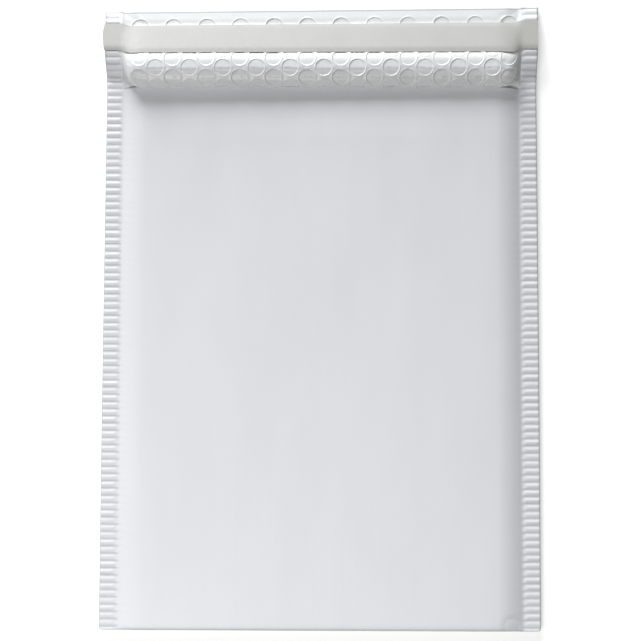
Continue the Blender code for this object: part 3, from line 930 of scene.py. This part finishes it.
def face_wrinkles(x, v):
    """Small crumples near the hump's ends, creases along it and a soft unevenness all over."""
    inside = SEAL_INNER - np.abs(x)
    along = along_face(v)
    ends = np.exp(-inside / CRUMPLE_REACH) * smooth(inside / CRUMPLE_START)
    crumple = wobble(along + CRUMPLE_SLANT * inside, CRUMPLE_ALONG, 12) * wobble(x, CRUMPLE_ACROSS, 13)
    soft = wobble(x + FACE_SLANT * along, FACE_SWELL_ACROSS, 14) * wobble(along, FACE_SWELL_ALONG, 15)
    creases = 0.0
    for number, centre in enumerate(CREASES):
        off = along - centre - CREASE_WANDER * wobble(x, CREASE_TURN, 16 + number)
        deep = CREASE_MEAN + CREASE_UNEVENNESS * wobble(x, CREASE_RUN, 18 + number)
        creases = creases - deep * np.exp(-((off / CREASE_WIDTH) ** 2))
    flat = smooth(inside / FACE_START)
    return CRUMPLE * ends * crumple + (FACE_SWELL * soft + CREASE_DEPTH * creases) * flat


def flap_face(x, v):
    """The face of the lining, which runs into the seals with no step."""
    tip = smooth((LINING_STOP - v) / FACE_FADE)
    mouth = smooth((v - BODY_LENGTH) / FACE_FADE)
    detail = (dimple(x, v) + face_wrinkles(x, v)) * tip * mouth
    meet = smooth(1 - (SEAL_INNER - np.abs(x)) / FACE_MEET) * mouth
    plain = WALL + lining(x, v)
    return place(x, v, plain + (SEAL_THICKNESS + FACE_PROUD - plain) * meet + detail)


def bubble_lining():
    """The lining: a plain pocket between the panels, and the flap's dimpled face."""
    shell = Shell()
    columns = columns_to(LINING_HALF, *LINING_STEPS)
    near, far = LINING_FOLD_ROWS
    body = np.array([LINING_START, near, *stations(far, BODY_LENGTH, POCKET_STEP)])
    flap = flap_rows(LINING_STOP)
    fine = columns_to(LINING_HALF + GAP + LINING_LAP, *FACE_STEPS)
    pocket_rows = np.array([LINING_START + LINING, *body[body > LINING_START + 2 * LINING]])
    inner = columns[np.abs(columns) < SEAL_INNER - POCKET_MARGIN]

    def under(x, v):
        return place(x, v, WALL)

    def over(x, v):
        return place(x, v, front(x, v) - WALL)

    def floor(x, v):
        return place(x, v, WALL + lining(x, v))

    def roof(x, v):
        return place(x, v, front(x, v) - WALL - lining(x, v))

    whole = np.concatenate([body, flap[1:]])
    shell.grid(columns, whole, under)
    shell.grid(columns, body, over)
    shell.grid(inner, pocket_rows, floor)
    shell.grid(inner, pocket_rows, roof)

    rims = []
    turns = 2 * np.pi * np.arange(RIM_SIDES) / RIM_SIDES
    for cx, centre in BUBBLES:
        for share in RIM_RADII:
            radius = share * BUBBLE / 2
            along = centre + radius * np.sin(turns)
            loop = list(zip((cx + radius * np.cos(turns)).tolist(), on_flap(along).tolist()))
            rims.append([*loop, loop[0]])
    grid_x, grid_v = np.meshgrid(fine[1:-1], flap[1:-1])
    clear = np.full(grid_x.shape, True)
    along = along_face(grid_v)
    for cx, centre in BUBBLES:
        clear &= np.hypot(grid_x - cx, along - centre) > BUBBLE / 2 * (RIM_RADII[0] + RIM_CLEARANCE)
    inside = list(zip(grid_x[clear].tolist(), grid_v[clear].tolist()))
    across = fine.tolist()
    down = flap.tolist()
    outline = [(x, down[0]) for x in across] + [(across[-1], v) for v in down[1:-1]]
    outline += [(x, down[-1]) for x in reversed(across)] + [(across[0], v) for v in down[-2:0:-1]]
    shell.patch(outline, inside, rims, flap_face)

    start, mouth = body[0], BODY_LENGTH
    shell.strip(over(columns, start), under(columns, start))
    shell.zipped(fine, flap_face(fine, LINING_STOP), columns, under(columns, LINING_STOP))
    shell.zipped(fine, flap_face(fine, mouth), inner, floor(inner, mouth))
    shell.strip(over(inner, mouth), roof(inner, mouth))
    shell.strip(roof(inner, pocket_rows[0]), floor(inner, pocket_rows[0]))
    for side in (-1, 1):
        edge, wall = side * LINING_HALF, side * float(np.max(inner))
        outer = side * (LINING_HALF + GAP + LINING_LAP)
        shell.strip(over(edge, body), under(edge, body))
        shell.strip(flap_face(outer, flap), under(edge, flap))
        shell.strip(roof(wall, pocket_rows), floor(wall, pocket_rows))
        corner = [over(edge, mouth), under(edge, mouth), roof(wall, mouth), floor(wall, mouth)]
        shell.add(np.array([*corner, over(wall, mouth)]), [(0, 1, 3, 2, 4)])
    return shell.finish("bubble_lining_film", BUBBLE_FILM, "bubble_film", "bubble_lining")


def release_liner():
    """The liner over the adhesive, a little wavy, with its left end standing proud of the seal."""
    shell = Shell()
    left, right = -HALF - LINER_PROUD, HALF
    columns = np.array(stations(left, right, LINER_STEPS[0]))
    rows = np.array(stations(LINER_START, LINER_STOP, LINER_STEPS[1]))

    def surface(lift):
        def at(x, v):
            across = np.clip(x, -HALF, HALF)
            proud = np.clip(x - across, -LINER_PROUD, 0)
            bow = 1 - ((v - (LINER_START + LINER_STOP) / 2) / (LINER / 2)) ** 2
            inward = np.minimum(v - LINER_START, LINER_STOP - v)
            stuck = GAP + ADHESIVE_THICKNESS + LINER_LIFT
            on_lining = WALL + LINING + stuck * smooth(inward / LINER_ROLL)
            on_seal = SEAL_THICKNESS + RIB_HEIGHT / 2
            under = on_seal + (on_lining - on_seal) * shoulder(across)
            wave = LINER_WAVE * (1 + wobble(across + LINER_WAVE_SLANT * v, LINER_WAVE_PITCH, 21))
            points = place(across, v, under + wave + lift - rib(across, v))
            points[..., 0] += proud * (LINER_BOW + bow)
            return points

        return at

    lower, upper = surface(0), surface(LINER_THICKNESS)
    shell.grid(columns, rows, lower)
    shell.grid(columns, rows, upper)
    for v in (LINER_START, LINER_STOP):
        shell.strip(lower(columns, v), upper(columns, v))
    for x in (left, right):
        shell.strip(lower(x, rows), upper(x, rows))
    return shell.finish("release_liner_film", RELEASE_FILM, "release_film", "release_liner")


def finish_adhesive():
    """The adhesive keeps its solid and gets its own finish."""
    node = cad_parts["adhesive_strip"]
    node.data.materials.clear()
    node.data.materials.append(ADHESIVE)


# Surroundings


def add_camera():
    """A long lens above the envelope, tilted a little towards its bottom edge."""
    data = bpy.data.cameras.new("camera")
    data.lens = CAMERA_LENS
    camera = bpy.data.objects.new("camera", data)
    away = Vector(
        (
            -math.sin(CAMERA_PAN),
            -math.sin(CAMERA_TILT),
            math.cos(CAMERA_TILT) * math.cos(CAMERA_PAN),
        )
    )
    look = -away.normalized()
    right = look.cross(Vector((0, 1, 0))).normalized()
    up = right.cross(look)
    cos, sin = math.cos(CAMERA_ROLL), math.sin(CAMERA_ROLL)
    axes = (right * cos + up * sin, up * cos - right * sin, -look)
    camera.matrix_world = Matrix.Translation(CAMERA_AIM + CAMERA_DISTANCE * away) @ (
        Matrix(axes).transposed().to_4x4()
    )
    bpy.context.scene.collection.objects.link(camera)
    bpy.context.scene.camera = camera


def seen_directly(tree):
    """1 for what the camera sees, straight or in a gloss or through clear material; else 0."""
    path = add_node(tree, "ShaderNodeLightPath")
    seen = path.outputs["Is Camera Ray"]
    for kind in ("Is Glossy Ray", "Is Transmission Ray"):
        either = add_node(tree, "ShaderNodeMath", operation="MAXIMUM")
        tree.links.new(seen, either.inputs[0])
        tree.links.new(path.outputs[kind], either.inputs[1])
        seen = either.outputs[0]
    return seen


def add_floor():
    """A plain white surface, which shows the object's shadow and looks white to the camera."""
    far = FLOOR_HALF
    data = bpy.data.meshes.new("floor")
    corners = [(-far, -far, 0), (far, -far, 0), (far, far, 0), (-far, far, 0)]
    data.from_pydata(corners, [], [(0, 1, 2, 3)])
    material = bpy.data.materials.new("floor")
    material.use_nodes = True
    tree = material.node_tree
    tree.nodes.remove(tree.nodes["Principled BSDF"])
    plain = add_node(tree, "ShaderNodeBsdfDiffuse")
    plain.inputs["Color"].default_value = FLOOR_COLOUR
    glow = add_node(tree, "ShaderNodeEmission")
    glow.inputs["Color"].default_value = (1, 1, 1, 1)
    glow.inputs["Strength"].default_value = FLOOR_GLOW
    none = add_node(tree, "ShaderNodeEmission")
    none.inputs["Strength"].default_value = 0
    either = add_node(tree, "ShaderNodeMixShader")
    both = add_node(tree, "ShaderNodeAddShader")
    tree.links.new(seen_directly(tree), either.inputs[0])
    tree.links.new(none.outputs[0], either.inputs[1])
    tree.links.new(glow.outputs[0], either.inputs[2])
    tree.links.new(plain.outputs[0], both.inputs[0])
    tree.links.new(either.outputs[0], both.inputs[1])
    tree.links.new(both.outputs[0], tree.nodes["Material Output"].inputs["Surface"])
    data.materials.append(material)
    floor = bpy.data.objects.new("floor", data)
    bpy.context.scene.collection.objects.link(floor)
    floor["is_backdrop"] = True


def add_world():
    """Soft light from all round, and white behind everything that the camera sees."""
    world = bpy.data.worlds.new("world")
    bpy.context.scene.world = world
    world.use_nodes = True
    tree = world.node_tree
    soft = tree.nodes["Background"]
    soft.inputs["Color"].default_value = SOFT_COLOUR
    soft.inputs["Strength"].default_value = SOFT_LIGHT
    white = add_node(tree, "ShaderNodeBackground")
    white.inputs["Color"].default_value = (1, 1, 1, 1)
    white.inputs["Strength"].default_value = 1
    either = add_node(tree, "ShaderNodeMixShader")
    tree.links.new(seen_directly(tree), either.inputs[0])
    tree.links.new(soft.outputs[0], either.inputs[1])
    tree.links.new(white.outputs[0], either.inputs[2])
    tree.links.new(either.outputs[0], tree.nodes["World Output"].inputs["Surface"])


def add_lamp(name, azimuth, elevation, distance, size, power, colour):
    """A square soft lamp that faces the envelope; azimuth 0 is +Y and 90 is +X."""
    data = bpy.data.lights.new(name, "AREA")
    data.size = size
    data.energy = power
    data.color = colour
    lamp = bpy.data.objects.new(name, data)
    a, e = math.radians(azimuth), math.radians(elevation)
    away = Vector((math.sin(a) * math.cos(e), math.cos(a) * math.cos(e), math.sin(e)))
    lamp.location = away * distance
    lamp.rotation_euler = away.to_track_quat("Z", "Y").to_euler()
    bpy.context.scene.collection.objects.link(lamp)


add_camera()
add_world()
add_lamp("key", azimuth=-17, elevation=16.5, distance=2.5, size=1.65, power=110, colour=(0.98, 0.99, 1))
add_lamp("fill", azimuth=-158, elevation=52, distance=0.9, size=0.5, power=4.0, colour=(1, 0.995, 0.985))
add_floor()
outer_film()
bubble_lining()
release_liner()
finish_adhesive()

scene = bpy.context.scene
scene.view_settings.view_transform = "Standard"
corners = {"cad": cad_box, "visual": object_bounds()}
{name: [list(c) for c in box] for name, box in corners.items()}
